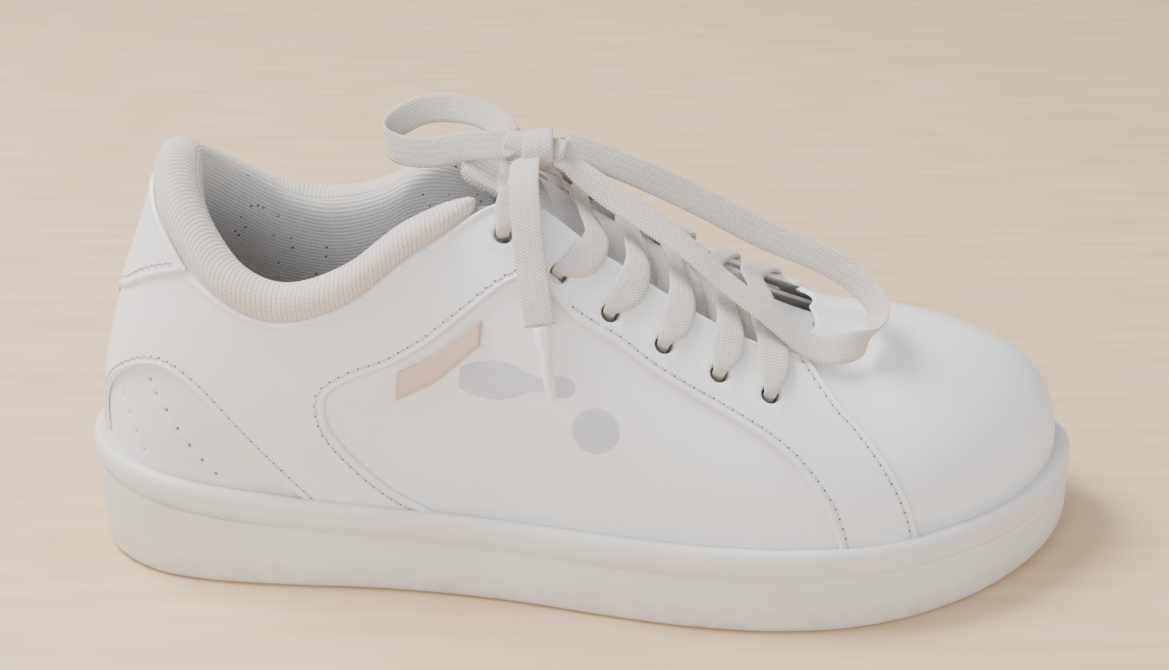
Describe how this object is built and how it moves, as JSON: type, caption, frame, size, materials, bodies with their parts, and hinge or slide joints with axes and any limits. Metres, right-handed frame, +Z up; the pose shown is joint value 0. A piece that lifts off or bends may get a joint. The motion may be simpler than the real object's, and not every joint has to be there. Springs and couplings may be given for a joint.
{
  "type": "bowling shoe",
  "caption": "Low lace-up bowling shoe for the right foot: cup sole with slide pad, layered leather upper, padded knit collar, hinged tongue and tied flat lace.",
  "frame": {"origin": "on the ground under the middle of the shoe, at the centre of its base", "axes": "+X towards the toe, +Y towards the inner (medial) side of the right foot, +Z up"},
  "size_m": [0.291, 0.1118, 0.1323],
  "materials": {
    "sole_rubber": "matte moulded off-white rubber, scuffed low down",
    "slide_suede": "napped microfibre",
    "heel_rubber": "matte rubber with a fine grip",
    "foam": "open foam",
    "board": "pressed fibre board",
    "insole_cloth": "fine woven cloth over foam",
    "leather": "smooth coated leather, soft sheen",
    "leather_print": "smooth coated leather with two rows of punched dots",
    "stiffener": "stiffened felt",
    "lining": "brushed cloth",
    "knit": "ribbed knit",
    "tab_cloth": "folded woven tape",
    "lace": "flat herringbone braid",
    "aglet": "clear plastic tip"
  },
  "bodies": {
    "shoe": {"cup_sole": "sole_rubber", "slide_pad": "slide_suede", "heel_pad": "heel_rubber", "midsole_wedge": "foam", "lasting_board": "board", "toe_vamp": "leather", "toe_puff": "stiffener", "vamp_lining": "lining", "side_panel_lateral": "leather", "side_panel_medial": "leather", "quarter_lateral": "leather", "quarter_medial": "leather", "heel_panel": "leather_print", "heel_stiffener": "stiffener", "heel_tab": "leather", "eyestay_lateral": "leather", "eyestay_medial": "leather", "eyelet_stay_lateral": "stiffener", "eyelet_stay_medial": "stiffener", "quarter_lining_lateral": "lining", "quarter_lining_medial": "lining", "collar_foam": "foam", "collar_lining": "knit", "lace_threaded": "lace", "lace_knot": "lace", "lace_loop_front": "lace", "lace_loop_back": "lace", "lace_tail_lateral": "lace", "lace_tail_medial": "lace", "aglet_lateral": "aglet", "aglet_medial": "aglet"},
    "tongue": {"tongue_face": "leather", "tongue_padding": "foam", "tongue_lining": "knit"},
    "insole": {"insole": "insole_cloth"},
    "side_tab": {"side_tab": "tab_cloth"}
  },
  "joints": [
    {"name": "tongue_hinge", "type": "hinge", "parent": "shoe", "child": "tongue", "pos_m": [0.07, 0.008, 0.0585], "axis": [0, -1, 0], "range_deg": [0, 8], "stiffness_Nm_per_rad": 2},
    {"name": "insole_lift", "type": "hinge", "parent": "shoe", "child": "insole", "pos_m": [0.134, 0.013, 0.0146], "axis": [0, 1, 0], "range_deg": [0, 4]},
    {"name": "side_tab_flip", "type": "hinge", "parent": "shoe", "child": "side_tab", "pos_m": [-0.035, -0.037, 0.0762], "axis": [-0.8328, -0.0677, -0.5495], "range_deg": [0, 45], "stiffness_Nm_per_rad": 0.005}
  ]
}
